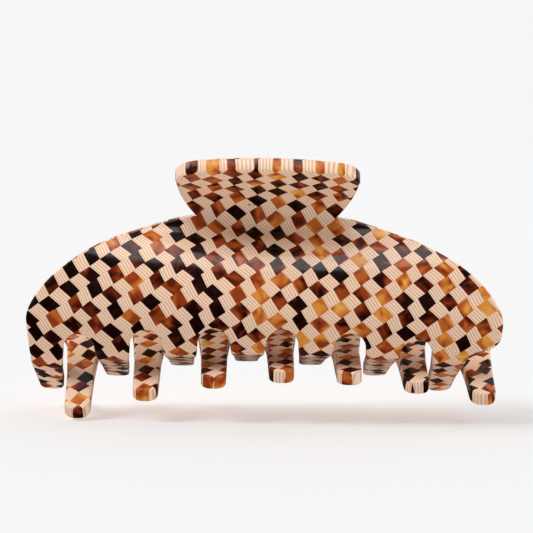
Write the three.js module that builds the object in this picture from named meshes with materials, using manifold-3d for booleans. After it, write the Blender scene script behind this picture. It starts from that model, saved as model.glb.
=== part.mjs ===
// Claw clip for hair: two toothed acetate jaws, cut alike and bent from flat sheet, turning on a
// sprung steel hinge between their handles. Millimetres, +Z up, X along the clip, the front jaw
// towards -Y. The origin is on the surface the clip stands on, under its middle.
import * as THREE from 'three';
import { mergeVertices } from 'three/addons/utils/BufferGeometryUtils.js';
import Module from 'manifold-3d';

const wasm = await Module();
wasm.setup();

// sheet and bends: every stretch of the side profile is an arc, given by its length along the
// outer face and by the angle it ends at, in degrees outwards from straight down
const sheet = 3.2;
const waistHeight = 44.95;
const waistHalfDepth = 6.5;
const bodyArcs = [[4.5, 49.5], [10, 26], [8.5, -0.5], [7.7, -27]];
const handleArcs = [[2, -30], [2.5, -50], [3.5, -64], [10.7, -64]];
const cornerRadius = 6; // where the body turns into the teeth
const barrel = 5.2; // how far the ends of the body sit back from its middle

// flat outline of one jaw
const halfLength = 53;
const waistHalf = 15.5;
const handleFlare = 4.7;
const handleFlareReach = 6;
const handleHeight = 18.7;
const handleCrown = 2.6;
const handleCorner = 4.2;
const shoulderDrop = 26.2;
const shoulderPower = 1.55;
const endEdge = [33.6, 31.6]; // lower edge of the toothless end, inside and outside
const endFillet = 1.9;

// teeth
const toothCount = 7;
const toothPitch = 15.2;
const firstTooth = -3.25; // in pitches from the middle, so that the two jaws interleave
const rootHalf = 4;
const bendHalf = 3.05;
const tipHalf = 2.75;
const taperLength = 13;
const tipCorner = 2.3;
const notchTop = 27.3;
const notchRise = 4;
const notchMiddle = -4; // where the arched row of notches is highest
const bendMiddle = 2.5; // where the arched row of bends is highest
const archReach = 45.7;
const notchDrop = 3.4; // how much lower each row runs at archReach from its middle
const bendDrop = 3.5;
const frontSlope = { least: 9, most: 23, middle: -3 }; // of the teeth, below level: least at
const rearSlope = { least: 12.2, most: 26.8, middle: -11 }; // the middle, most at archReach
const toothReach = [15, 12.2]; // past the middle plane, at bendMiddle and archReach from it
const gather = 0.016; // how much the teeth draw together below the body
const gatherFrom = 24;
const gatherLength = 12;

// hinge
const leafThickness = 0.6;
const leafGap = 0.25;
const leafHalf = 8;
const leafAbove = 6.6;
const leafBelow = 3.6;
const pinRadius = 0.95;
const pinHeadRadius = 1.6;
const pinHead = 0.8;
const boreRadius = 1.25;
const knuckleRadius = 1.9;
const knuckles = [[-7.7, -5.3], [2.7, 5]]; // along X on the rear leaf; the front leaf's mirror them
const hingeHalf = 8.1;
const wireRadius = 0.375;
const coilRadius = 1.95;
const coilHalf = 2.05;
const coilTurns = 5;
const armAngle = 60; // of each spring arm from upright
const armLength = 4.7;
const stapleAt = 3; // above the waist, along the sheet
const stapleX = [-3.3, 3.3];
const legRadius = 0.28;
const legSpacing = 1.05;
const slotGap = 0.3;
const skin = 0.5; // acetate left in front of each staple leg

const rad = THREE.MathUtils.degToRad;
const lerp = THREE.MathUtils.lerp;

const toothCentre = (k) => (k + firstTooth) * toothPitch;

// centre of the tooth that a place along the clip belongs to
function nearestTooth(x) {
  const k = Math.round(x / toothPitch - firstTooth);
  return toothCentre(THREE.MathUtils.clamp(k, 0, toothCount - 1));
}

// 0 at the middle of an arched row, 1 at archReach from there
const arch = (x, middle) => ((x - middle) / archReach) ** 2;

// ---- side profile of the sheet ----

// the stretches of arc down the body and along the tooth at x
function bodyStretches(x, teeth) {
  const slope = lerp(teeth.least, teeth.most, arch(x, teeth.middle));
  const last = bodyArcs[bodyArcs.length - 1][1];
  const corner = cornerRadius * rad(90 - slope + last);
  return [...bodyArcs, [bendDrop * arch(x, bendMiddle), last], [corner, slope - 90], [60, slope - 90]];
}

// point [out, up] and outward angle, a distance along a chain of arcs from the waist
function alongArcs(stretches, distance, side) {
  let out = 0;
  let up = 0;
  let angle = 0;
  let left = distance;
  for (const [length, end] of stretches) {
    const run = Math.min(left, length);
    const turn = length > 0 ? (rad(end) - angle) * (run / length) : 0;
    const bend = run > 0 ? turn / run : 0;
    if (Math.abs(bend) < 1e-6) {
      out += run * Math.sin(angle);
      up -= run * Math.cos(angle);
    } else {
      out += (Math.cos(angle) - Math.cos(angle + turn)) / bend;
      up -= (Math.sin(angle + turn) - Math.sin(angle)) / bend;
    }
    angle += turn;
    left -= run;
    if (left <= 0) {
      break;
    }
  }
  return { out: side * out, up: side * up, angle };
}

// where a place on the flat sheet lies once bent: x along the clip, v up the sheet from the
// waist, depth in from the outer face, teeth the slope of that jaw's teeth
function bent(x, v, depth, teeth = frontSlope) {
  const arcs = v > 0
    ? alongArcs(handleArcs, v, -1)
    : alongArcs(bodyStretches(nearestTooth(x), teeth), -v, 1);
  const back = v > 0 ? 0 : barrel * (x / halfLength) ** 2 * Math.min(1, -v / 20);
  const out = waistHalfDepth + arcs.out - back - depth * Math.cos(arcs.angle);
  const gathered = gather * THREE.MathUtils.clamp((-v - gatherFrom) / gatherLength, 0, 1);
  const up = waistHeight + arcs.up - depth * Math.sin(arcs.angle);
  return new THREE.Vector3(x * (1 - gathered), -out, up);
}

// distance down the sheet at which a tooth has reached far enough past the middle plane
function tipDistance(x, teeth) {
  const reach = lerp(toothReach[0], toothReach[1], arch(x, bendMiddle));
  let near = 40;
  let far = 90;
  for (let i = 0; i < 30; i += 1) {
    const middle = (near + far) / 2;
    if (bent(x, -middle, 0, teeth).y < reach) {
      near = middle;
    } else {
      far = middle;
    }
  }
  return near;
}

// ---- flat outline of a jaw ----

const notchLine = (x) => notchTop + notchDrop * arch(x, notchMiddle);

function shoulderLine(x) {
  const t = Math.min(1, Math.max(0, (Math.abs(x) - waistHalf) / (halfLength - waistHalf)));
  return shoulderDrop * (1 - (1 - t ** shoulderPower) ** (1 / shoulderPower));
}

// columns of the body: across each tooth, across each notch, and across the toothless end
function bodyColumns() {
  const columns = [];
  for (let k = 0; k < toothCount; k += 1) {
    const centre = toothCentre(k);
    const start = k === 0 ? -halfLength : centre - rootHalf;
    for (const t of [0, 0.12, 0.5, 0.88]) {
      columns.push({ x: lerp(start, centre + rootHalf, t), tooth: k });
    }
    columns.push({ x: centre + rootHalf, tooth: k });
    const last = k === toothCount - 1;
    const width = last ? halfLength - centre - rootHalf : toothPitch - 2 * rootHalf;
    const steps = last ? [0.08, 0.25, 0.5, 0.75, 0.93, 1] : [0.067, 0.25, 0.5, 0.75, 0.933];
    for (const t of steps) {
      const x = centre + rootHalf + width * t;
      columns.push({ x, tooth: -1, low: last ? endLine(x) : notchArch(x, centre + toothPitch / 2) });
    }
  }
  for (const x of [-waistHalf, waistHalf]) {
    const nearest = columns.reduce((a, b) => (Math.abs(a.x - x) < Math.abs(b.x - x) ? a : b));
    const next = { ...nearest, x };
    if (nearest.tooth < 0) {
      const k = Math.round(x / toothPitch - firstTooth - 0.5);
      next.low = notchArch(x, toothCentre(k) + toothPitch / 2);
    }
    columns.splice(columns.indexOf(nearest) + (nearest.x < x ? 1 : 0), 0, next);
  }
  for (const column of columns) {
    column.top = shoulderLine(column.x);
    if (column.tooth >= 0) {
      column.low = notchLine(toothCentre(column.tooth)) + notchRise;
    }
  }
  return columns;
}

function notchArch(x, middle) {
  const across = Math.min(1, Math.abs(x - middle) / (toothPitch / 2 - rootHalf));
  return notchLine(middle) + notchRise * (1 - Math.sqrt(1 - across ** 2));
}

function endLine(x) {
  const inner = toothCentre(toothCount - 1) + rootHalf;
  const t = (x - inner) / (halfLength - inner);
  const fillet = Math.max(0, 1 - (x - inner) / endFillet);
  const corner = Math.max(0, 1 - (halfLength - x) / 1) ** 2;
  return lerp(endEdge[0], endEdge[1], t) + endFillet * (1 - Math.sqrt(1 - fillet ** 2)) - corner;
}

// ---- meshes ----

// a flat mesh of quads bent into shape and given the thickness of the sheet
function bentSheet(flat, quads, teeth) {
  const positions = [];
  for (const depth of [0, sheet]) {
    for (const [x, v] of flat) {
      positions.push(...bent(x, v, depth, teeth).toArray());
    }
  }
  const under = flat.length;
  const edges = new Map();
  const index = [];
  for (const quad of quads) {
    const [a, b, c, d] = quad;
    index.push(a, b, c, a, c, d);
    index.push(under + a, under + c, under + b, under + a, under + d, under + c);
    quad.forEach((from, i) => {
      const to = quad[(i + 1) % 4];
      if (!edges.delete(`${to},${from}`)) {
        edges.set(`${from},${to}`, [from, to]);
      }
    });
  }
  for (const [from, to] of edges.values()) {
    index.push(to, from, under + from, to, under + from, under + to);
  }
  const geometry = new THREE.BufferGeometry();
  geometry.setAttribute('position', new THREE.Float32BufferAttribute(positions, 3));
  geometry.setIndex(index);
  return geometry;
}

// body, handle and teeth of one jaw as one flat mesh, then bent
function jawSheet(teeth) {
  const bodyRows = 8;
  const handleRows = 8;
  const toothRows = 12;
  const flat = [];
  const quads = [];
  const columns = bodyColumns();
  const row = (places) => places.map((place) => flat.push(place) - 1);
  const join = (upper, lower) => {
    for (let i = 0; i + 1 < upper.length; i += 1) {
      quads.push([upper[i], lower[i], lower[i + 1], upper[i + 1]]);
    }
  };

  const body = [];
  for (let j = 0; j <= bodyRows; j += 1) {
    body.push(row(columns.map(({ x, top, low }) => [x, -lerp(top, low, j / bodyRows)])));
  }
  for (let j = 0; j < bodyRows; j += 1) {
    join(body[j], body[j + 1]);
  }

  // handle: the columns fan out and crowd towards its two top corners
  const first = columns.findIndex(({ x }) => x >= -waistHalf);
  const count = columns.filter(({ x }) => Math.abs(x) <= waistHalf).length;
  let below = body[0].slice(first, first + count);
  for (let j = 1; j <= handleRows; j += 1) {
    const t = j / handleRows;
    const half = waistHalf + handleFlare * (1 - Math.exp(-t * handleHeight / handleFlareReach));
    const places = [];
    for (let i = 0; i < count; i += 1) {
      const even = columns[first + i].x / waistHalf;
      const crowded = Math.sin(Math.PI * (i / (count - 1) - 0.5));
      const across = lerp(even, crowded, t ** 2);
      const past = Math.max(0, Math.abs(across) * half - (half - handleCorner));
      const round = handleCorner - Math.sqrt(handleCorner ** 2 - past ** 2);
      const top = handleHeight - handleCrown * across ** 2 - round;
      places.push([across * half, top * t]);
    }
    const above = row(places);
    join(above, below);
    below = above;
  }

  // teeth: tapering below the notches, straight past the bend, rounded at the tip
  for (let k = 0; k < toothCount; k += 1) {
    const centre = toothCentre(k);
    const own = columns.map((column, i) => ({ ...column, i })).filter(({ tooth }) => tooth === k);
    const root = own[0].low;
    const tip = tipDistance(centre, teeth);
    let above = own.map(({ i }) => body[bodyRows][i]);
    for (let j = 1; j <= toothRows; j += 1) {
      const t = j / toothRows;
      const down = t * (tip - root);
      const taper = Math.min(1, down / taperLength);
      const slim = Math.max(0, (down - taperLength) / (tip - root - taperLength));
      const places = own.map(({ x }) => {
        const outside = k === 0 && x < centre ? centre + halfLength : rootHalf;
        const across = (x - centre) / outside;
        const half = lerp(lerp(outside, bendHalf, taper), tipHalf, slim);
        const past = Math.max(0, Math.abs(across) * half - (half - tipCorner));
        const round = tipCorner - Math.sqrt(Math.max(0, tipCorner ** 2 - past ** 2));
        return [centre + across * half, -(root + down - round * t)];
      });
      const next = row(places);
      join(above, next);
      above = next;
    }
  }
  return bentSheet(flat, quads, teeth);
}

// ---- joining and cutting ----

function toSolid(geometry) {
  const plain = geometry.clone();
  plain.deleteAttribute('normal');
  plain.deleteAttribute('uv');
  const merged = mergeVertices(plain, 1e-4);
  return new wasm.Manifold(new wasm.Mesh({
    numProp: 3,
    vertProperties: new Float32Array(merged.attributes.position.array),
    triVerts: new Uint32Array(merged.index.array),
  }));
}

function toGeometry(solid) {
  const mesh = solid.getMesh();
  const geometry = new THREE.BufferGeometry();
  geometry.setAttribute('position', new THREE.Float32BufferAttribute(mesh.vertProperties, 3));
  geometry.setIndex(new THREE.Uint32BufferAttribute(mesh.triVerts, 1));
  return geometry;
}

// a round bar along X between two places
function barAlongX(radius, from, to, sides) {
  const bar = new THREE.CylinderGeometry(radius, radius, to - from, sides);
  bar.rotateZ(Math.PI / 2);
  bar.translate((from + to) / 2, 0, 0);
  return bar;
}

// ---- pieces of one side, made as the front side ----

// frame of a staple: its own Y runs out through the sheet, its origin is on the outer face
function stapleFrame(x) {
  const place = bent(x, stapleAt, 0);
  const inward = bent(x, stapleAt, 1).sub(place);
  const turn = Math.atan2(inward.z, inward.y);
  return new THREE.Matrix4().makeRotationX(turn).setPosition(place);
}

// slot through the leaf and most of the sheet, which the legs of a staple sit in
function stapleSlot(x) {
  const far = sheet + leafGap + leafThickness + 1;
  const near = skin - slotGap;
  const slot = new THREE.BoxGeometry(
    legSpacing + 2 * (legRadius + slotGap),
    far - near,
    2 * (legRadius + slotGap),
  );
  slot.translate(0, (far + near) / 2, 0);
  return toSolid(slot.applyMatrix4(stapleFrame(x)));
}

function jawGeometry(teeth) {
  let solid = toSolid(jawSheet(teeth));
  for (const x of stapleX) {
    solid = solid.subtract(stapleSlot(x));
  }
  return toGeometry(solid);
}

// a staple: two round legs joined by a flat bridge on the inside of the leaf
function stapleGeometry(x) {
  const bridgeNear = sheet + leafGap + leafThickness + 0.05;
  const bridge = new THREE.BoxGeometry(legSpacing + 2 * legRadius, 0.45, 2 * legRadius);
  bridge.translate(0, bridgeNear + 0.225, 0);
  let solid = toSolid(bridge);
  for (const side of [-1, 1]) {
    const leg = new THREE.CylinderGeometry(legRadius, legRadius, bridgeNear - skin + 0.2, 12);
    leg.translate((side * legSpacing) / 2, (bridgeNear + skin + 0.2) / 2, 0);
    solid = solid.add(toSolid(leg));
  }
  return toGeometry(solid).applyMatrix4(stapleFrame(x));
}

// a leaf: a plate that follows the inside of the waist, with two curled knuckles
function leafGeometry() {
  const near = sheet + leafGap;
  const steps = 14;
  const outline = [];
  for (const [depth, from, to] of [
    [near, -leafBelow, leafAbove],
    [near + leafThickness, leafAbove, -leafBelow],
  ]) {
    for (let i = 0; i <= steps; i += 1) {
      const place = bent(0, lerp(from, to, i / steps), depth);
      outline.push(new THREE.Vector2(place.y, place.z));
    }
  }
  const plate = new THREE.ExtrudeGeometry(new THREE.Shape(outline), {
    depth: 2 * leafHalf,
    bevelEnabled: false,
  });
  plate.applyMatrix4(new THREE.Matrix4().set(
    0, 0, 1, -leafHalf,
    1, 0, 0, 0,
    0, 1, 0, 0,
    0, 0, 0, 1,
  ));
  let solid = toSolid(plate);
  const plateInside = waistHalfDepth - near - leafThickness;
  for (const [from, to] of knuckles) {
    const barrelPart = barAlongX(knuckleRadius, -to, -from, 32).translate(0, 0, waistHeight);
    const web = new THREE.BoxGeometry(to - from, plateInside + 0.5, knuckleRadius - boreRadius);
    web.translate(
      -(from + to) / 2,
      -(plateInside + 0.5) / 2,
      waistHeight + (knuckleRadius + boreRadius) / 2,
    );
    solid = solid.add(toSolid(barrelPart)).add(toSolid(web));
  }
  const bore = barAlongX(boreRadius, -leafHalf - 1, leafHalf + 1, 32).translate(0, 0, waistHeight);
  solid = solid.subtract(toSolid(bore));
  for (const x of stapleX) {
    solid = solid.subtract(stapleSlot(x));
  }
  return toGeometry(solid);
}

// ---- pieces on the hinge line ----

function pinGeometry() {
  const end = hingeHalf;
  const profile = [
    new THREE.Vector2(0, -end - pinHead),
    new THREE.Vector2(pinHeadRadius * 0.6, -end - pinHead * 0.85),
    new THREE.Vector2(pinHeadRadius, -end - pinHead * 0.3),
    new THREE.Vector2(pinHeadRadius, -end),
    new THREE.Vector2(pinRadius, -end),
    new THREE.Vector2(pinRadius, end),
    new THREE.Vector2(pinHeadRadius, end),
    new THREE.Vector2(pinHeadRadius, end + pinHead * 0.3),
    new THREE.Vector2(pinHeadRadius * 0.6, end + pinHead * 0.85),
    new THREE.Vector2(0, end + pinHead),
  ];
  return new THREE.LatheGeometry(profile, 28).rotateZ(-Math.PI / 2);
}

// centre line of the spring: an arm against each leaf and the coil round the pin between them
class SpringLine extends THREE.Curve {
  constructor() {
    super();
    this.start = Math.PI - rad(armAngle);
    this.sweep = 2 * Math.PI * coilTurns + rad(armAngle) - this.start;
    this.coilLength = this.sweep * coilRadius;
    this.total = this.coilLength + 2 * armLength;
  }

  getPoint(t, target = new THREE.Vector3()) {
    const along = t * this.total - armLength;
    const wound = THREE.MathUtils.clamp(along / this.coilLength, 0, 1);
    const angle = this.start + this.sweep * wound;
    const past = along - wound * this.coilLength;
    return target.set(
      lerp(-coilHalf, coilHalf, wound),
      coilRadius * Math.cos(angle) - past * Math.sin(angle),
      coilRadius * Math.sin(angle) + past * Math.cos(angle),
    );
  }
}

function springGeometry() {
  const section = new THREE.Shape();
  section.absarc(0, 0, wireRadius, 0, 2 * Math.PI);
  return new THREE.ExtrudeGeometry(section, {
    steps: 100,
    curveSegments: 4,
    extrudePath: new SpringLine(),
  });
}

// ---- the assembly ----

const acetate = { color: 0x9a5a38, roughness: 0.18, metalness: 0 };
const steel = { color: 0xb9b4a8, roughness: 0.3, metalness: 1 };

function piece(name, geometry, finish) {
  geometry.computeVertexNormals();
  const mesh = new THREE.Mesh(geometry, new THREE.MeshStandardMaterial(finish));
  mesh.name = name;
  return mesh;
}

function side(name, teeth) {
  const half = new THREE.Group();
  half.add(piece(`${name}_jaw`, jawGeometry(teeth), acetate));
  half.add(piece(`${name}_hinge_leaf`, leafGeometry(), steel));
  half.add(piece(`${name}_staple_left`, stapleGeometry(stapleX[0]), steel));
  half.add(piece(`${name}_staple_right`, stapleGeometry(stapleX[1]), steel));
  return half;
}

const group = new THREE.Group();
const front = side('front', frontSlope);
const rear = side('rear', rearSlope);
rear.rotation.z = Math.PI;
group.add(front, rear);

const pin = piece('hinge_pin', pinGeometry(), steel);
pin.position.z = waistHeight;
const spring = piece('torsion_spring', springGeometry(), steel);
spring.position.z = waistHeight;
group.add(pin, spring);

export default group;
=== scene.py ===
from math import cos, exp, floor, pi, radians, sin, sqrt

import bmesh
import bpy
from mathutils import Euler, Matrix, Vector
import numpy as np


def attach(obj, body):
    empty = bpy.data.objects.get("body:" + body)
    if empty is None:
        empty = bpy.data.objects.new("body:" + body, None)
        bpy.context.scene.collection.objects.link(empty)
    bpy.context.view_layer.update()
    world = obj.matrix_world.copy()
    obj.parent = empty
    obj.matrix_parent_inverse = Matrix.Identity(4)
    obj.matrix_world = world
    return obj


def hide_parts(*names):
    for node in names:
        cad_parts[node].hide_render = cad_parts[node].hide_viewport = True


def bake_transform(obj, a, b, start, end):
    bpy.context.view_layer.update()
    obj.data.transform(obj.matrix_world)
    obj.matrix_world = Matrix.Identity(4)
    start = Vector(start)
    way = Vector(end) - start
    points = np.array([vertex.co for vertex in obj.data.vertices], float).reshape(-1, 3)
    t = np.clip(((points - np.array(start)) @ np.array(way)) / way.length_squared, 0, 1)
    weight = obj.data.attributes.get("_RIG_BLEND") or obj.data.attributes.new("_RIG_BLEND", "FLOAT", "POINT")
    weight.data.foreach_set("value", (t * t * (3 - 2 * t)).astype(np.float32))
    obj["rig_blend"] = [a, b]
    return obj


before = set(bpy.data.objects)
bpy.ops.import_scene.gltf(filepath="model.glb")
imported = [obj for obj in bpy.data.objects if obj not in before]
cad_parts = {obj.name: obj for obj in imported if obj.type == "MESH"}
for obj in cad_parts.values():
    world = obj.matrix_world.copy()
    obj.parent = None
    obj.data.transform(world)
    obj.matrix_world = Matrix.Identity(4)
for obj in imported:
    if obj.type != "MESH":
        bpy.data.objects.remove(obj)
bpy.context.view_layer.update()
millimetre = 0.001

camera = {
    "place": (-8.64, -450, 60),  # mm
    "turn": 1.14,  # degrees to the right
    "down": 3.36,
    "roll": 0.9,
    "lens": 134.73,
}


def makeCamera():
    data = bpy.data.cameras.new("camera")
    data.lens = camera["lens"]
    data.sensor_width = 36
    data.clip_end = 20
    view = bpy.data.objects.new("camera", data)
    bpy.context.scene.collection.objects.link(view)
    view.location = Vector(camera["place"]) * millimetre
    aim = Euler((radians(90 - camera["down"]), 0, radians(-camera["turn"]))).to_matrix()
    view.rotation_euler = (aim @ Matrix.Rotation(radians(camera["roll"]), 3, "Z")).to_euler()
    bpy.context.scene.camera = view


makeCamera()
print("camera ready")

jaw = {
    "sheet": 3.2,
    "edgeRound": 0.55,  # how far the tumbled edges are rounded
    "polish": 0.05,  # taken off each face
    "waistHeight": 44.95,
    "waistHalfDepth": 6.5,
    "bodyArcs": [(4.5, 49.5), (10, 26), (8.5, -0.5), (7.7, -27)],  # length, degrees at its end
    "handleArcs": [(2, -30), (2.5, -50), (3.5, -64), (10.7, -64)],
    "cornerRadius": 6,
    "barrel": 5.2,
    "halfLength": 53,
    "waistHalf": 15.5,
    "handleFlare": 4.7,
    "handleFlareReach": 6,
    "handleHeight": 18.7,
    "handleCrown": 2.6,
    "handleCorner": 4.2,
    "shoulderDrop": 26.2,
    "shoulderPower": 1.55,
    "endEdge": (33.6, 31.6),
    "endLowest": 34.7,
    "endFillet": 1.9,
    "endCorner": 2.4,
    "toothCount": 7,
    "toothPitch": 15.2,
    "firstTooth": -3.25,
    "rootHalf": 4,
    "bendHalf": 3.05,
    "tipHalf": 2.75,
    "taperLength": 13,
    "tipCorner": 2.3,
    "notchTop": 27.3,
    "notchRise": 4,
    "notchMiddle": -4,
    "bendMiddle": 2.5,
    "archReach": 45.7,
    "notchDrop": 3.4,
    "bendDrop": 3.5,
    "toothReach": (15, 12.2),  # past the middle, in the middle of the row and at its end
    "longest": 60,  # more than any tooth is long
    "barrelFrom": 20,  # the sheet is fully barrelled this far below the waist
    "gather": 0.016,
    "gatherFrom": 24,
    "gatherLength": 12,
    "cutsAcross": (-52, 52, 2.6),  # from, to and how far apart
    "cutsBelow": [(-74, -51, 1.5), (-50.3, -30, 0.65), (-29, -1, 1)],
    "cutsAbove": [(0.5, 8, 0.5), (9, 18, 1.5)],
}


frontSlope = {"least": 9, "most": 23, "middle": -3}  # of the teeth below level, in degrees
rearSlope = {"least": 12.2, "most": 26.8, "middle": -11}


def mix(a, b, t):
    return a + (b - a) * t


def clamp(value, low=0.0, high=1.0):
    return max(low, min(high, value))


def arch(x, middle):
    return ((x - middle) / jaw["archReach"]) ** 2


def toothCentre(index):
    return (index + jaw["firstTooth"]) * jaw["toothPitch"]


def nearestTooth(x):
    index = floor(x / jaw["toothPitch"] - jaw["firstTooth"] + 0.5)
    return toothCentre(clamp(index, 0, jaw["toothCount"] - 1))


def bodyStretches(x, teeth):
    slope = mix(teeth["least"], teeth["most"], arch(x, teeth["middle"]))
    last = jaw["bodyArcs"][-1][1]
    corner = jaw["cornerRadius"] * radians(90 - slope + last)
    drop = jaw["bendDrop"] * arch(x, jaw["bendMiddle"])
    return [
        *jaw["bodyArcs"],
        (drop, last),
        (corner, slope - 90),
        (jaw["longest"], slope - 90),
    ]


def alongArcs(stretches, distance, side):  # how far out and up the sheet has gone, and which way it leans
    out = up = angle = 0.0
    left = distance
    for length, end in stretches:
        run = min(left, length)
        if run > 0:
            turn = (radians(end) - angle) * run / length
            if abs(turn) < 1e-6:
                out += run * sin(angle)
                up -= run * cos(angle)
            else:
                out += (cos(angle) - cos(angle + turn)) * run / turn
                up -= (sin(angle + turn) - sin(angle)) * run / turn
            angle += turn
        left -= run
        if left <= 0:
            break
    return side * out, side * up, angle


# where a place on the flat sheet ends up once the sheet is pressed to shape
def bend(x, v, depth, teeth=frontSlope):
    if v > 0:
        out, up, angle = alongArcs(jaw["handleArcs"], v, -1)
        back = 0
    else:
        out, up, angle = alongArcs(bodyStretches(nearestTooth(x), teeth), -v, 1)
        back = jaw["barrel"] * (x / jaw["halfLength"]) ** 2 * min(1, -v / jaw["barrelFrom"])
    gathered = jaw["gather"] * clamp((-v - jaw["gatherFrom"]) / jaw["gatherLength"])
    return Vector((
        x * (1 - gathered),
        -(jaw["waistHalfDepth"] + out - back - depth * cos(angle)),
        jaw["waistHeight"] + up - depth * sin(angle),
    ))


def tipDistance(x, teeth):
    reach = mix(*jaw["toothReach"], arch(x, jaw["bendMiddle"]))
    near, far = 40, 90  # mm below the waist, to either side of any tip
    for _ in range(30):  # halvings
        middle = (near + far) / 2
        if bend(x, -middle, 0, teeth).y < reach:
            near = middle
        else:
            far = middle
    return near


sideSteps = 24  # points along a straight side
cornerSteps = 8  # round a tooth's corner
curveSteps = 40  # along a shoulder
handleSteps = 12  # round a handle's corner
topSteps = 20
endSteps = 36


def shoulder(side):  # from the waist out to the end of the body, a quarter of a superellipse
    power = 2 / jaw["shoulderPower"]
    points = []
    for step in range(curveSteps + 1):
        angle = pi / 2 * step / curveSteps
        across = mix(jaw["waistHalf"], jaw["halfLength"], sin(angle) ** power)
        points.append((side * across, -jaw["shoulderDrop"] * (1 - max(0, cos(angle)) ** power)))
    return points


def handle():  # from the right of the waist over the top of the handle to the left
    widest = jaw["waistHalf"] + jaw["handleFlare"]  # nearly reached at the corners
    cornerTop = jaw["handleHeight"] - jaw["handleCrown"] - jaw["handleCorner"]
    right = []
    for step in range(1, sideSteps + 1):
        t = step / sideSteps
        flare = jaw["handleFlare"] * (1 - exp(-t * jaw["handleHeight"] / jaw["handleFlareReach"]))
        right.append((jaw["waistHalf"] + flare, cornerTop * t))
    for step in range(1, handleSteps + 1):
        angle = pi / 2 * step / handleSteps
        x = widest - jaw["handleCorner"] * (1 - cos(angle))
        crown = jaw["handleCrown"] * (x / widest) ** 2
        right.append((x, jaw["handleHeight"] - crown - jaw["handleCorner"] * (1 - sin(angle))))
    flat = right[-1][0]
    top = []
    for step in range(1, topSteps):
        x = mix(flat, -flat, step / topSteps)
        top.append((x, jaw["handleHeight"] - jaw["handleCrown"] * (x / widest) ** 2))
    left = [(-x, v) for x, v in reversed(right)]
    return right + top + left


def notchLine(x):
    return jaw["notchTop"] + jaw["notchDrop"] * arch(x, jaw["notchMiddle"])


def tooth(index, teeth):  # down the right side of a tooth, round its tip and up its left side
    centre = toothCentre(index)
    root = notchLine(centre) + jaw["notchRise"]
    length = tipDistance(centre, teeth) - root
    corner = jaw["tipCorner"]

    def half(down, outside):
        taper = min(1, down / jaw["taperLength"])
        slim = max(0, (down - jaw["taperLength"]) / (length - jaw["taperLength"]))
        return mix(mix(outside, jaw["bendHalf"], taper), jaw["tipHalf"], slim)

    def edge(side, outside):
        points = []
        for step in range(sideSteps + 1):
            down = (length - corner) * step / sideSteps
            points.append((centre + side * half(down, outside), -root - down))
        for step in range(1, cornerSteps + 1):
            angle = pi / 2 * step / cornerSteps
            x = half(length, outside) - corner * (1 - cos(angle))
            points.append((centre + side * x, -root - length + corner * (1 - sin(angle))))
        return points

    outside = centre + jaw["halfLength"] if index == 0 else jaw["rootHalf"]
    return edge(1, jaw["rootHalf"]) + list(reversed(edge(-1, outside)))


def notch(index):  # from the left of one tooth over the notch to the right of the one before
    middle = toothCentre(index) - jaw["toothPitch"] / 2
    half = jaw["toothPitch"] / 2 - jaw["rootHalf"]
    points = []
    for step in range(1, sideSteps):
        angle = pi * (0.5 - step / sideSteps)
        beside = toothCentre(index if angle > 0 else index - 1)
        rise = jaw["notchRise"] + notchLine(beside) - notchLine(middle)
        points.append((middle + half * sin(angle), -notchLine(middle) - rise * (1 - cos(angle))))
    return points


def toothlessEnd():  # lower edge of the end beyond the last tooth, from its corner inwards
    inner = toothCentre(jaw["toothCount"] - 1) + jaw["rootHalf"]
    length = jaw["halfLength"] - inner
    points = []
    for step in range(endSteps + 1):
        t = 0.5 + 0.5 * cos(pi * step / endSteps)
        x = inner + length * t
        fillet = max(0, 1 - (x - inner) / jaw["endFillet"])
        near = clamp(1 - (jaw["halfLength"] - x) / jaw["endCorner"])
        low = mix(*jaw["endEdge"], t) - jaw["endCorner"] * (1 - sqrt(1 - near ** 2))
        rise = jaw["endFillet"] * (1 - sqrt(1 - fillet ** 2))
        points.append((x, -min(low + rise, jaw["endLowest"])))
    return points


def jawOutline(teeth):
    points = shoulder(-1)
    for index in range(jaw["toothCount"]):
        points += list(reversed(tooth(index, teeth)))
        if index + 1 < jaw["toothCount"]:
            points += list(reversed(notch(index + 1)))
    points += list(reversed(toothlessEnd()))
    points += list(reversed(shoulder(1)))
    points += handle()
    return points


closeEnough = 1e-4  # mm, places nearer than this are one
waistCuts = [0, 0.002]  # where the bend changes sides


def layOutline(points, closest=0.05):  # one flat face with the given outline
    plate = bmesh.new()
    kept = []
    for x, v in points:
        if not kept or (kept[-1].co - Vector((x, v, 0))).length > closest:
            kept.append(plate.verts.new((x, v, 0)))
    if (kept[-1].co - kept[0].co).length < closest:
        plate.verts.remove(kept.pop())
    plate.faces.new(kept)
    bmesh.ops.recalc_face_normals(plate, faces=plate.faces)
    if plate.faces[:][0].normal.z < 0:
        bmesh.ops.reverse_faces(plate, faces=plate.faces)
    return plate


# insets rings round the outline, each one nearer the face than the last
def roundRim(plate, radius, holding, segments=4):
    lift = plate.verts.layers.float.new("lift")
    for vert in plate.verts:
        vert[lift] = radius
    inner = plate.faces[:]
    before = 0
    for step in range(1, segments + 2):
        angle = pi / 2 * min(1, step / segments)
        inset = radius * (1 - cos(angle)) + (holding if step > segments else 0)
        bmesh.ops.inset_region(
            plate,
            faces=inner,
            thickness=inset - before,
            depth=0,
            use_boundary=True,
            use_even_offset=True,
        )
        for vert in inner[0].verts:
            vert[lift] = radius * (1 - sin(angle))
        before = inset


def cutGrid(plate, acrossCuts, alongCuts):  # cuts the flat plate along lines of equal x and of equal v
    for normal, cuts in (((1, 0, 0), acrossCuts), ((0, 1, 0), alongCuts)):
        for place in cuts:
            bmesh.ops.bisect_plane(
                plate,
                geom=plate.verts[:] + plate.edges[:] + plate.faces[:],
                dist=closeEnough,
                plane_co=Vector(normal) * place,
                plane_no=normal,
            )


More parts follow.
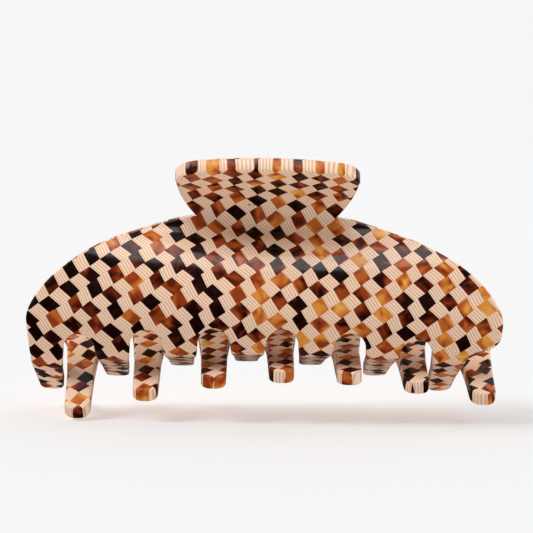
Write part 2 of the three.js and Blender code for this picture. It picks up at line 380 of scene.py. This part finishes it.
# a plate of even thickness with rounded edges, pressed to the jaws' side profile
def bentPlate(name, outline, shape, acrossCuts, alongCuts, teeth, turned):
    plate = layOutline(outline)
    roundRim(plate, shape["edgeRound"], shape["edgeRound"] / 4)
    cutGrid(plate, acrossCuts, alongCuts)
    lift = plate.verts.layers.float["lift"]
    sheetPlace = plate.verts.layers.float_vector.new("sheetPlace")
    outer = set(plate.verts)
    bmesh.ops.extrude_face_region(plate, geom=plate.faces[:], use_keep_orig=True)
    near = shape.get("near", 0) + shape["polish"]
    far = shape.get("near", 0) + shape["sheet"] - shape["polish"]
    for vert in plate.verts:
        depth = near + vert[lift] if vert in outer else far - vert[lift]
        x, v = vert.co.xy
        vert[sheetPlace] = (x, v, depth)
        vert.co = bend(x, v, depth, teeth) * millimetre
    if turned:
        bmesh.ops.rotate(plate, verts=plate.verts, matrix=Matrix.Rotation(pi, 3, "Z"))
    bmesh.ops.recalc_face_normals(plate, faces=plate.faces)
    return keepMesh(name, plate)


def keepMesh(name, shape):
    mesh = bpy.data.meshes.new(name)
    shape.to_mesh(mesh)
    shape.free()
    mesh.shade_smooth()
    piece = bpy.data.objects.new(name, mesh)
    bpy.context.scene.collection.objects.link(piece)
    return piece


def steps(first, last, pace):
    count = max(1, round((last - first) / pace))
    return [mix(first, last, index / count) for index in range(count + 1)]


def makeJaw(name, turned):
    across = steps(*jaw["cutsAcross"])
    along = [place for cuts in jaw["cutsBelow"] for place in steps(*cuts)]
    along += waistCuts + [place for cuts in jaw["cutsAbove"] for place in steps(*cuts)]
    teeth = rearSlope if turned else frontSlope
    return bentPlate(name, jawOutline(teeth), jaw, across, along, teeth, turned)


def linear(shade):  # a colour written as on a paint card, as the shader's linear numbers
    values = [int(shade[place:place + 2], 16) / 255 for place in (1, 3, 5)]
    return [
        *(v / 12.92 if v <= 0.04045 else ((v + 0.055) / 1.055) ** 2.4 for v in values),
        1,
    ]


# one node, its settings, and what goes into each of its sockets
def addNode(tree, kind, settings=None, links=None):
    node = tree.nodes.new("ShaderNode" + kind)
    for key, value in (settings or {}).items():
        setattr(node, key, value)
    for key, value in (links or {}).items():
        if isinstance(value, bpy.types.NodeSocket):
            tree.links.new(value, node.inputs[key])
        else:
            node.inputs[key].default_value = value
    return node


def calc(tree, operation, *values):  # one sum
    node = addNode(tree, "Math", {"operation": operation}, dict(enumerate(values)))
    return node.outputs[0]


def startMaterial(name):
    material = bpy.data.materials.new(name)
    material.use_nodes = True
    tree = material.node_tree
    tree.nodes.clear()
    shader = addNode(tree, "BsdfPrincipled")
    output = addNode(tree, "OutputMaterial", {}, {"Surface": shader.outputs[0]})
    output.location = (300, 0)
    return material, tree, shader


def colourRamp(tree, factor, stops, blending):
    ramp = addNode(tree, "ValToRGB", {}, {0: factor})
    ramp.color_ramp.interpolation = blending
    elements = ramp.color_ramp.elements
    while len(elements) < len(stops):
        elements.new(0.5)
    for element, (place, shade) in zip(elements, stops):
        element.position = place
        element.color = linear(shade)
    return ramp.outputs[0]


acetate = {
    "stripAngle": 38,  # degrees the strips climb to the right
    "stripWidth": 3.3,  # mm
    "changeFrom": -24.0,  # mm, where the left part's pattern starts to give way
    "changeTo": 14.0,
    "layerPeriod": 5.7,  # mm, one cream and one tortoiseshell block
    "leftLean": 0.18,  # how far the layers lean, one way and then the other
    "rightLean": 0.13,
    "leftShift": 0.33,  # from strip to strip, in periods
    "rightShift": 0.5,
    "drift": -0.08,  # of every strip past the one before
    "jitter": 0.24,
    "linesPerPeriod": 9,
    "waver": 0.35,  # mm the layers stray from straight
    "waversPerMm": 0.11,
    "cloudsPerMm": 0.24,
    "cloudMiddle": 0.44,
    "blockSpread": 0.7,  # how much the blocks differ from each other
    "leftAmber": -0.1,
    "rightAmber": 0.14,
    "apart": 60,  # mm in the slab between one block's place and the next one's
    "unevenPerMm": 0.16,
    "hazePerMm": 0.5,
    "cream": "#FFE0C2",
    "creamLine": "#E2A88C",
    "tortoise": [
        (0.0, "#140301"),
        (0.26, "#240803"),
        (0.38, "#5C1C08"),
        (0.53, "#9C4016"),
        (0.67, "#C8682A"),
        (0.82, "#E6963E"),
        (1.0, "#F7BC62"),
    ],
    "gloss": 0.14,
}


def leftToRight(tree, x, left, right):  # a value that changes over the middle of the sheet
    return addNode(tree, "MapRange", {"interpolation_type": "SMOOTHSTEP"}, {
        "Value": x,
        "From Min": acetate["changeFrom"],
        "From Max": acetate["changeTo"],
        "To Min": left,
        "To Max": right,
    }).outputs[0]


# strip and layer numbers of the place on the sheet, and how far through the layer it is
def acetateLayers(tree):
    place = addNode(tree, "Attribute", {"attribute_name": "sheetPlace"}).outputs["Vector"]
    waver = addNode(tree, "TexNoise", {"noise_dimensions": "3D"}, {
        "Vector": place,
        "Scale": acetate["waversPerMm"],
        "Detail": 1.0,
    })
    stray = addNode(tree, "VectorMath", {"operation": "SUBTRACT"}, {
        0: waver.outputs["Color"],
        1: (0.5, 0.5, 0.5),
    })
    strayed = addNode(tree, "VectorMath", {"operation": "MULTIPLY_ADD"}, {
        0: stray.outputs[0],
        1: (acetate["waver"] * 4,) * 3,
        2: place,
    })
    split = addNode(tree, "SeparateXYZ", {}, {0: strayed.outputs[0]})
    x, v = split.outputs[0], split.outputs[1]
    climb = sin(radians(acetate["stripAngle"]))
    level = cos(radians(acetate["stripAngle"]))
    along = calc(tree, "ADD", calc(tree, "MULTIPLY", x, level), calc(tree, "MULTIPLY", v, climb))
    across = calc(tree, "SUBTRACT", calc(tree, "MULTIPLY", x, climb), calc(tree, "MULTIPLY", v, level))
    across = calc(tree, "DIVIDE", across, acetate["stripWidth"])
    strip = calc(tree, "FLOOR", across)
    inStrip = calc(tree, "SUBTRACT", calc(tree, "FRACT", across), 0.5)
    odd = calc(tree, "FLOORED_MODULO", strip, 2.0)
    side = calc(tree, "MULTIPLY_ADD", odd, 2.0, -1.0)
    howFar = leftToRight(tree, x, acetate["leftLean"], acetate["rightLean"])
    lean = calc(tree, "MULTIPLY", side, howFar)
    leant = calc(tree, "MULTIPLY", calc(tree, "MULTIPLY", lean, inStrip), acetate["stripWidth"])
    step = leftToRight(tree, x, acetate["leftShift"], acetate["rightShift"])
    chance = addNode(tree, "TexWhiteNoise", {"noise_dimensions": "1D"}, {"W": strip}).outputs[0]
    jitter = calc(tree, "MULTIPLY_ADD", chance, acetate["jitter"], -acetate["jitter"] / 2)
    shift = calc(tree, "MULTIPLY_ADD", odd, step, jitter)
    drift = calc(tree, "MULTIPLY", strip, acetate["drift"])
    shift = calc(tree, "ADD", shift, drift)
    layer = calc(tree, "DIVIDE", calc(tree, "ADD", along, leant), acetate["layerPeriod"])
    layer = calc(tree, "ADD", layer, shift)
    return place, x, strip, layer


# laminated cellulose acetate: cream and tortoiseshell blocks, tumbled and buffed to a gloss
def makeAcetate():
    material, tree, shader = startMaterial("laminated acetate")
    place, x, strip, layer = acetateLayers(tree)
    doubled = calc(tree, "MULTIPLY", layer, 2.0)
    block = calc(tree, "FLOOR", doubled)
    isCream = calc(tree, "FLOORED_MODULO", block, 2.0)
    blockPlace = addNode(tree, "CombineXYZ", {}, {0: block, 1: strip}).outputs[0]
    chance = addNode(tree, "TexWhiteNoise", {"noise_dimensions": "2D"}, {"Vector": blockPlace})

    apart = addNode(tree, "VectorMath", {"operation": "MULTIPLY_ADD"}, {  # each from its own place
        0: chance.outputs["Color"],
        1: (acetate["apart"],) * 3,
        2: place,
    }).outputs[0]
    clouds = addNode(tree, "TexNoise", {}, {  # swirls inside a tortoiseshell block
        "Vector": apart,
        "Scale": acetate["cloudsPerMm"],
        "Detail": 1.0,
        "Distortion": 0.9,
    }).outputs[0]
    amber = addNode(tree, "MapRange", {}, {  # paler towards the right end
        "Value": x,
        "From Min": -50.0,
        "From Max": 50.0,
        "To Min": acetate["leftAmber"],
        "To Max": acetate["rightAmber"],
    }).outputs[0]
    depthOfShade = calc(tree, "MULTIPLY_ADD", chance.outputs["Value"], acetate["blockSpread"], amber)
    clouding = calc(tree, "SUBTRACT", clouds, acetate["cloudMiddle"])
    depthOfShade = calc(tree, "ADD", depthOfShade, clouding)
    tortoise = colourRamp(tree, depthOfShade, acetate["tortoise"], "EASE")

    turns = calc(tree, "MULTIPLY", layer, 2 * pi * acetate["linesPerPeriod"])
    wave = calc(tree, "COSINE", turns)
    line = addNode(tree, "MapRange", {"interpolation_type": "SMOOTHSTEP"}, {  # pinkish seams
        "Value": wave,
        "From Min": -0.2,
        "From Max": 0.9,
        "To Min": 0.0,
        "To Max": 0.85,
    }).outputs[0]
    cream = addNode(tree, "Mix", {"data_type": "RGBA"}, {
        "Factor": line,
        "A": linear(acetate["cream"]),
        "B": linear(acetate["creamLine"]),
    }).outputs[2]
    colour = addNode(tree, "Mix", {"data_type": "RGBA"}, {
        "Factor": isCream,
        "A": tortoise,
        "B": cream,
    }).outputs[2]
    tree.links.new(colour, shader.inputs["Base Color"])

    uneven = addNode(tree, "TexNoise", {}, {
        "Vector": place,
        "Scale": acetate["unevenPerMm"],
        "Detail": 1.0,
    })
    bump = addNode(tree, "Bump", {}, {  # buffing leaves the faces very slightly uneven
        "Strength": 0.25,
        "Distance": 0.0006,
        "Height": uneven.outputs[0],
    })
    tree.links.new(bump.outputs[0], shader.inputs["Normal"])
    hazed = addNode(tree, "TexNoise", {}, {
        "Vector": place,
        "Scale": acetate["hazePerMm"],
        "Detail": 3.0,
    })
    gloss = calc(tree, "MULTIPLY_ADD", hazed.outputs[0], 0.08, acetate["gloss"] - 0.04)
    tree.links.new(gloss, shader.inputs["Roughness"])
    shader.inputs["IOR"].default_value = 1.49
    shader.inputs["Specular IOR Level"].default_value = 0.27
    return material


hingeSteel = {"shade": "#C4BFB6", "gloss": 0.3}  # half bright, finely scratched
stapleWire = {"shade": "#FFDE9A", "gloss": 0.45}  # pale gold, softly shining
springWire = {"shade": "#D2CEC6", "gloss": 0.18}  # smooth and bright


def makeMetal(name, look):  # mild steel, pressed and barrelled, or drawn as wire
    material, tree, shader = startMaterial(name)
    shader.inputs["Base Color"].default_value = linear(look["shade"])
    shader.inputs["Metallic"].default_value = 1
    place = addNode(tree, "TexCoord").outputs["Object"]
    worn = addNode(tree, "TexNoise", {}, {"Vector": place, "Scale": 1400.0, "Detail": 4.0})
    gloss = calc(tree, "MULTIPLY_ADD", worn.outputs[0], 0.2, look["gloss"] - 0.1)
    tree.links.new(gloss, shader.inputs["Roughness"])
    bump = addNode(tree, "Bump", {}, {
        "Strength": 0.15,
        "Distance": 0.00003,
        "Height": worn.outputs[0],
    })
    tree.links.new(bump.outputs[0], shader.inputs["Normal"])
    return material


hinge = {
    "leafHalf": 8,
    "leafAbove": 6.6,
    "leafBelow": 3.6,
    "leafCorner": 1.2,
    "boreRadius": 1.25,
    "knuckleRadius": 1.9,
    "knuckleSoft": 0.1,
    "tongueSink": 0.2,  # into the plate
    "tongueSlim": 0.04,
    "tongueRound": 0.08,
    "knuckles": [(5.3, 7.7), (-5, -2.7)],  # along X on the front leaf
    "pinRadius": 0.95,
    "pinHeadRadius": 1.6,
    "pinHead": 0.8,
    "pinHeadFlat": 0.8,  # how much of the head's height is dome
    "pinHeadSoft": (0.06, 0.05),  # across and along, under the head
    "pinHalf": 8.1,
    "coilRadius": 1.95,
    "coilHalf": 2.05,
    "coilTurns": 5,
    "wireRadius": 0.37,
    "armAngle": 60,
    "armLength": 4.6,
    "stapleX": (-3.3, 3.3),
    "stapleAt": 3,
    "legRadius": 0.28,
    "legSpacing": 1.05,
    "legCorner": 0.3,
    "domeDepths": (0.005, 0.02, 0.06, 0.16),  # of the leg's rounded end
    "domeWidths": (0.6, 0.85, 0.95, 1),  # as a share of the leg's
    "bridgeGap": 0.21,  # from the leaf to the middle of the bridge's wire
}
coilSteps = 200
armSteps = 8
leafPlate = {
    "sheet": 0.6,
    "edgeRound": 0.12,
    "polish": 0.01,
    "near": 3.45,  # from the jaw's outer face to the leaf
    "cutsAcross": (-7, 7, 2),
    "cutsBelow": (-3.3, -0.3, 0.3),
    "cutsAbove": (0.3, 6.3, 0.3),
}


def roundedRectangle(half, low, high, corner):
    points = []
    for x, v, start in (
        (half - corner, high - corner, 0),
        (-half + corner, high - corner, 90),
        (-half + corner, low + corner, 180),
        (half - corner, low + corner, 270),
    ):
        for step in range(7):
            angle = radians(start + 15 * step)
            points.append((x + corner * cos(angle), v + corner * sin(angle)))
    return points


# one curl of the leaf round the pin, with the tongue that joins it to the plate
def addKnuckle(shape, start, end):
    rim = []
    inside, outside, soft = hinge["boreRadius"], hinge["knuckleRadius"], hinge["knuckleSoft"]
    for x, radius in (
        (start + soft, inside),
        (end - soft, inside),
        (end, inside + soft),
        (end, outside - soft),
        (end - soft, outside),
        (start + soft, outside),
        (start, outside - soft),
        (start, inside + soft),
    ):
        rim.append(shape.verts.new((x, 0, radius)))
    edges = [shape.edges.new((rim[index - 1], rim[index])) for index in range(len(rim))]
    bmesh.ops.spin(
        shape,
        geom=rim + edges,
        cent=(0, 0, 0),
        axis=(1, 0, 0),
        angle=2 * pi,
        steps=48,
        use_merge=True,
    )
    reach = jaw["waistHalfDepth"] - leafPlate["near"] - leafPlate["sheet"] + hinge["tongueSink"]
    thick = outside - inside
    tongue = bmesh.ops.create_cube(shape, size=1)["verts"]
    bmesh.ops.scale(shape, vec=(end - start - hinge["tongueSlim"], reach, thick * 0.96), verts=tongue)
    bmesh.ops.translate(
        shape, vec=((start + end) / 2, -reach / 2, outside - thick / 2), verts=tongue
    )
    edges = list({edge for vert in tongue for edge in vert.link_edges})
    bmesh.ops.bevel(
        shape, geom=edges, offset=hinge["tongueRound"], offset_type="OFFSET",
        affect="EDGES", segments=2, profile=0.5, material=-1,
    )


def makeLeaf(name, turned):
    outline = roundedRectangle(
        hinge["leafHalf"], -hinge["leafBelow"], hinge["leafAbove"], hinge["leafCorner"]
    )
    along = steps(*leafPlate["cutsBelow"]) + waistCuts + steps(*leafPlate["cutsAbove"])
    across = steps(*leafPlate["cutsAcross"])
    plate = bentPlate(name, outline, leafPlate, across, along, frontSlope, False)
    shape = bmesh.new()
    for start, end in hinge["knuckles"]:
        addKnuckle(shape, start, end)
    bmesh.ops.scale(shape, vec=(millimetre,) * 3, verts=shape.verts)
    bmesh.ops.translate(shape, vec=(0, 0, jaw["waistHeight"] * millimetre), verts=shape.verts)
    bmesh.ops.recalc_face_normals(shape, faces=shape.faces)
    shape.from_mesh(plate.data)
    if turned:
        bmesh.ops.rotate(shape, verts=shape.verts, matrix=Matrix.Rotation(pi, 3, "Z"))
    shape.to_mesh(plate.data)
    shape.free()
    plate.data.shade_smooth()
    return plate


# a round wire along a path given in millimetres, its ends closed
def makeWire(name, path, radius, domed=()):
    curve = bpy.data.curves.new(name, "CURVE")
    curve.dimensions = "3D"
    curve.bevel_depth = radius * millimetre
    curve.bevel_resolution = 4
    curve.use_fill_caps = True
    line = curve.splines.new("POLY")
    line.points.add(len(path) - 1)
    for index, (point, place) in enumerate(zip(line.points, path)):
        point.co = (*(Vector(place) * millimetre), 1)
        if domed:
            point.radius = domed[min(index, len(path) - 1 - index, len(domed) - 1)]
    wire = bpy.data.objects.new(name, curve)
    bpy.context.scene.collection.objects.link(wire)
    bpy.context.view_layer.update()
    settled = wire.evaluated_get(bpy.context.evaluated_depsgraph_get())
    mesh = bpy.data.meshes.new_from_object(settled)
    bpy.data.objects.remove(wire)
    shape = bmesh.new()
    shape.from_mesh(mesh)
    bmesh.ops.remove_doubles(shape, verts=shape.verts, dist=closeEnough * millimetre)
    bmesh.ops.recalc_face_normals(shape, faces=shape.faces)
    bpy.data.meshes.remove(mesh)
    return keepMesh(name, shape)


# two legs heat-set through the sheet, joined by a bridge on the inside of the leaf
def makeStaple(name, x, turned):
    bridge = leafPlate["near"] + leafPlate["sheet"] + hinge["bridgeGap"]
    corner = hinge["legCorner"]
    half = hinge["legSpacing"] / 2
    flat = [(-half, depth) for depth in hinge["domeDepths"]]
    for step in range(7):
        angle = radians(15 * step)
        flat.append((-half + corner * (1 - cos(angle)), bridge - corner * (1 - sin(angle))))
    flat += [(-across, depth) for across, depth in reversed(flat)]
    path = [bend(x + across, hinge["stapleAt"], depth) for across, depth in flat]
    if turned:
        path = [(-place.x, -place.y, place.z) for place in path]
    return makeWire(name, path, hinge["legRadius"], hinge["domeWidths"])


def makePin():  # a headed pin turned about its own line
    end, head, top = hinge["pinHalf"], hinge["pinHead"], hinge["pinHeadRadius"]
    softAcross, softAlong = hinge["pinHeadSoft"]
    profile = [(0, end + head)]
    for step in range(1, 8):
        angle = pi / 2 * step / 7
        crown = 1 - hinge["pinHeadFlat"] * (1 - cos(angle))
        profile.append((top * sin(angle), end + head * crown))
    profile += [(top, end + softAlong), (top - softAcross, end), (hinge["pinRadius"], end)]
    profile += [(radius, -along) for radius, along in reversed(profile)]
    shape = bmesh.new()
    verts = [shape.verts.new((along, 0, radius)) for radius, along in profile]
    edges = [shape.edges.new(pair) for pair in zip(verts, verts[1:])]
    bmesh.ops.spin(
        shape, geom=verts + edges, cent=(0, 0, 0), axis=(1, 0, 0),
        angle=2 * pi, steps=40, use_merge=True,
    )
    bmesh.ops.remove_doubles(shape, verts=shape.verts, dist=closeEnough)
    bmesh.ops.scale(shape, vec=(millimetre,) * 3, verts=shape.verts)
    bmesh.ops.translate(shape, vec=(0, 0, jaw["waistHeight"] * millimetre), verts=shape.verts)
    bmesh.ops.recalc_face_normals(shape, faces=shape.faces)
    return keepMesh("hingePin", shape)


# coil round the pin, its first arm against the rear leaf and its last against the front
def makeSpring():
    start = pi - radians(hinge["armAngle"])
    sweep = 2 * pi * hinge["coilTurns"] + radians(hinge["armAngle"]) - start
    radius, half = hinge["coilRadius"], hinge["coilHalf"]
    path = []

    def place(wound, past):
        angle = start + sweep * wound
        return Vector((
            mix(-half, half, wound),
            radius * cos(angle) - past * sin(angle),
            jaw["waistHeight"] + radius * sin(angle) + past * cos(angle),
        ))

    for step in range(armSteps):
        path.append(place(0, -hinge["armLength"] * (1 - step / armSteps)))
    path += [place(step / coilSteps, 0) for step in range(coilSteps + 1)]
    for step in range(1, armSteps + 1):
        path.append(place(1, hinge["armLength"] * step / armSteps))
    return makeWire("torsionSpring", path, hinge["wireRadius"])


def finishPiece(piece, body, node, material):
    piece.data.materials.clear()
    piece.data.materials.append(material)
    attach(piece, body)
    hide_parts(node)


acetateSheet = makeAcetate()
brightSteel = makeMetal("pressed hinge steel", hingeSteel)
platedWire = makeMetal("brass-plated staple wire", stapleWire)
drawnWire = makeMetal("drawn spring wire", springWire)

for side, turned in (("front", False), ("rear", True)):
    body = f"{side}_side"
    finishPiece(makeJaw(f"{side}Jaw", turned), body, f"{side}_jaw", acetateSheet)
    print(side, "jaw ready")
    finishPiece(
        makeLeaf(f"{side}HingeLeaf", turned), body, f"{side}_hinge_leaf", brightSteel
    )
    for hand, x in zip(("left", "right"), hinge["stapleX"]):
        finishPiece(
            makeStaple(f"{side}Staple{hand.title()}", x, turned),
            body, f"{side}_staple_{hand}", platedWire,
        )
    print(side, "hinge leaf and staples ready")

finishPiece(makePin(), "rear_side", "hinge_pin", brightSteel)

spring = makeSpring()
spring.data.materials.append(drawnWire)
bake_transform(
    spring, "rear_side", "front_side",
    start=(-hinge["coilHalf"] * millimetre, 0, jaw["waistHeight"] * millimetre),
    end=(hinge["coilHalf"] * millimetre, 0, jaw["waistHeight"] * millimetre),
)
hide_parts("torsion_spring")
print("pin and spring ready")

studio = {
    "table": "#F4F4F4",
    "tableHalf": 30,  # metres
    "tableGap": 0.00005,
    "tableGlow": 0.366,
    "backdrop": 0.923,  # what is seen behind the clip
    "frontLight": 0.12,  # what lights the clip from all round
    "backLight": 0.6,
    "floorLight": 0.12,  # share of it that comes from below
    "sun": 1.05,
    "sunWidth": 24,  # degrees, for soft shadows
    "sunTowards": (1.1, 0.12, -1),
}


def makeTable():  # white painted board, quite matt
    shape = bmesh.new()
    bmesh.ops.create_grid(shape, x_segments=1, y_segments=1, size=studio["tableHalf"])
    table = keepMesh("table", shape)
    table.location.z = -studio["tableGap"]
    material, _, shader = startMaterial("white table")
    shader.inputs["Base Color"].default_value = linear(studio["table"])
    shader.inputs["Roughness"].default_value = 0.9
    shader.inputs["Specular IOR Level"].default_value = 0.1
    shader.inputs["Emission Color"].default_value = (1, 1, 1, 1)
    shader.inputs["Emission Strength"].default_value = studio["tableGlow"]
    table.data.materials.append(material)
    table.visible_glossy = False


def addSoftbox(name, place, aim, size, power):
    data = bpy.data.lights.new(name, "AREA")
    data.shape = "RECTANGLE"
    data.size, data.size_y = size
    data.energy = power
    box = bpy.data.objects.new(name, data)
    bpy.context.scene.collection.objects.link(box)
    box.location = place
    box.rotation_euler = (Vector(aim) - Vector(place)).to_track_quat("-Z", "Y").to_euler()
    box.light_linking.receiver_collection = clipOnly


def lightRoom():
    world = bpy.data.worlds.new("room")
    world.use_nodes = True
    tree = world.node_tree
    tree.nodes.clear()
    seen = addNode(tree, "LightPath").outputs["Is Camera Ray"]
    direction = addNode(tree, "TexCoord").outputs["Generated"]
    split = addNode(tree, "SeparateXYZ", {}, {0: direction})
    depth, height = split.outputs[1], split.outputs[2]
    around = addNode(tree, "MapRange", {"interpolation_type": "SMOOTHSTEP"}, {
        "Value": depth,
        "From Min": -0.8,
        "From Max": 0.5,
        "To Min": studio["frontLight"],
        "To Max": studio["backLight"],
    }).outputs[0]
    above = addNode(tree, "MapRange", {"interpolation_type": "SMOOTHSTEP"}, {
        "Value": height,
        "From Min": -0.1,
        "From Max": 0.1,
        "To Min": studio["floorLight"],
    }).outputs[0]
    around = calc(tree, "MULTIPLY", around, above)
    strength = addNode(tree, "Mix", {"data_type": "FLOAT"}, {
        "Factor": seen,
        2: around,
        3: studio["backdrop"],
    }).outputs[0]
    light = addNode(tree, "Background", {}, {"Color": (1, 1, 1, 1), "Strength": strength})
    addNode(tree, "OutputWorld", {}, {"Surface": light.outputs[0]})
    bpy.context.scene.world = world
    sun = bpy.data.lights.new("overhead", "SUN")
    sun.energy = studio["sun"]
    sun.angle = radians(studio["sunWidth"])
    lamp = bpy.data.objects.new("overhead", sun)
    bpy.context.scene.collection.objects.link(lamp)
    lamp.rotation_euler = Vector(studio["sunTowards"]).to_track_quat("-Z", "Y").to_euler()


clipMiddle = (0, 0, 0.03)
clipOnly = bpy.data.collections.new("clip only")  # the softboxes light only this
for piece in [item for item in bpy.data.objects if item.type == "MESH"]:
    clipOnly.objects.link(piece)
makeTable()
lightRoom()
addSoftbox("rightBox", (0.7, -0.1, 0.35), clipMiddle, (0.5, 0.7), 2.2)  # metres and watts
addSoftbox("topBox", (-0.1, -0.35, 0.8), clipMiddle, (0.8, 0.4), 3.7)
bpy.context.scene.view_settings.view_transform = "Standard"
print("table and light ready")

bpy.context.view_layer.update()
